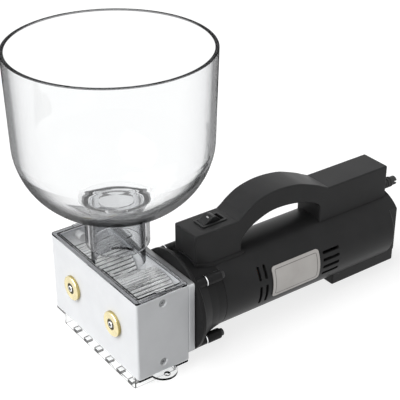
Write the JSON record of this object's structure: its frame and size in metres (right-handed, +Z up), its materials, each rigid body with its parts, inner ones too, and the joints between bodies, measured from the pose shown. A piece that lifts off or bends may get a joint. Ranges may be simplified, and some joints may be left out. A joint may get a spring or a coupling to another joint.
{
  "type": "electric grain mill",
  "caption": "Electric grain mill: paired steel rollers in a boxed aluminium head under a clear bowl hopper, with a clear outlet tray and a motor with a top handle and rocker switch.",
  "frame": {"origin": "on the foot of the outlet tray, under its row of lugs, half way between the rollers", "axes": "+X from the mill head to the rear of the motor, +Y to the side away from the motor, +Z up to the hopper"},
  "size_m": [0.3904, 0.1778, 0.2955],
  "materials": {
    "clear_plastic": "clear moulded plastic, polished",
    "smoked_plastic": "clear moulded plastic with a grey tint, polished",
    "satin_aluminium": "fine blasted and anodised",
    "brass": "turned",
    "roller_steel": "fluted",
    "machined_steel": "machined",
    "chrome": "polished",
    "nylon": "moulded",
    "copper": "wound wire and copper bars",
    "carbon": "pressed carbon",
    "black_plastic": "moulded with a fine satin texture",
    "badge_metal": "brushed, no lettering",
    "black_rubber": "moulded"
  },
  "bodies": {
    "frame": {"outlet_tray": "clear_plastic", "mill_housing": "satin_aluminium", "back_plate": "satin_aluminium", "front_bush_drive": "brass", "rear_bush_drive": "brass", "guide_block_near_top": "nylon", "side_screw_near_top": "machined_steel", "guide_block_near_bottom": "nylon", "side_screw_near_bottom": "machined_steel", "front_bush_idler": "brass", "rear_bush_idler": "brass", "guide_block_far_top": "nylon", "side_screw_far_top": "machined_steel", "guide_block_far_bottom": "nylon", "side_screw_far_bottom": "machined_steel", "gearbox_housing": "black_plastic", "flange_screw_near_top": "chrome", "flange_screw_near_bottom": "chrome", "flange_screw_far_top": "chrome", "flange_screw_far_bottom": "chrome", "gear_ring": "machined_steel", "gearbox_cover": "satin_aluminium", "bearing_front": "machined_steel", "bearing_rear": "machined_steel", "stator": "machined_steel", "brush_near": "carbon", "brush_far": "carbon", "motor_housing": "black_plastic", "badge_plate": "badge_metal", "handle": "black_plastic", "switch_bezel": "black_plastic", "cord_guard": "black_rubber"},
    "drive_train": {"roller_drive": "roller_steel", "shaft_screw_drive": "chrome", "planet_carrier": "machined_steel"},
    "idler": {"roller_idler": "roller_steel", "shaft_screw_idler": "chrome"},
    "planet_1": {"gear_planet_1": "nylon"},
    "planet_2": {"gear_planet_2": "nylon"},
    "planet_3": {"gear_planet_3": "nylon"},
    "armature": {"motor_shaft": "machined_steel", "gear_sun": "machined_steel", "armature_core": "copper", "commutator": "copper", "fan": "nylon"},
    "rocker": {"switch_rocker": "black_plastic"},
    "cover": {"top_cover": "smoked_plastic"},
    "hopper": {"hopper": "clear_plastic"}
  },
  "joints": [
    {"name": "roller_spin", "type": "hinge", "parent": "frame", "child": "drive_train", "pos_m": [-0.005, -0.0348, 0.0531], "axis": [1, 0, 0], "continuous": true},
    {"name": "idler_spin", "type": "hinge", "parent": "frame", "child": "idler", "pos_m": [-0.005, 0.0348, 0.0531], "axis": [1, 0, 0], "continuous": true},
    {"name": "armature_spin", "type": "hinge", "parent": "frame", "child": "armature", "pos_m": [0.085, -0.0348, 0.0531], "axis": [1, 0, 0], "continuous": true},
    {"name": "planet_1_spin", "type": "hinge", "parent": "drive_train", "child": "planet_1", "pos_m": [0.0711, -0.01957, 0.0531], "axis": [1, 0, 0], "continuous": true},
    {"name": "planet_2_spin", "type": "hinge", "parent": "drive_train", "child": "planet_2", "pos_m": [0.0711, -0.04241, 0.06628], "axis": [1, 0, 0], "continuous": true},
    {"name": "planet_3_spin", "type": "hinge", "parent": "drive_train", "child": "planet_3", "pos_m": [0.0711, -0.04241, 0.03991], "axis": [1, 0, 0], "continuous": true},
    {"name": "rocker_tilt", "type": "hinge", "parent": "frame", "child": "rocker", "pos_m": [0.1, -0.0348, 0.1193], "axis": [0, 1, 0], "range_deg": [-12, 0]},
    {"name": "cover_lift", "type": "slide", "parent": "frame", "child": "cover", "axis": [0, 0, 1], "range_m": [0, 0.06]},
    {"name": "hopper_lift", "type": "slide", "parent": "cover", "child": "hopper", "axis": [0, 0, 1], "range_m": [0, 0.06]}
  ],
  "couplings": [
    {"joint": "idler_spin", "follows": "roller_spin", "ratio": -1},
    {"joint": "armature_spin", "follows": "roller_spin", "ratio": 4.6667},
    {"joint": "planet_1_spin", "follows": "roller_spin", "ratio": -2.75},
    {"joint": "planet_2_spin", "follows": "roller_spin", "ratio": -2.75},
    {"joint": "planet_3_spin", "follows": "roller_spin", "ratio": -2.75}
  ]
}
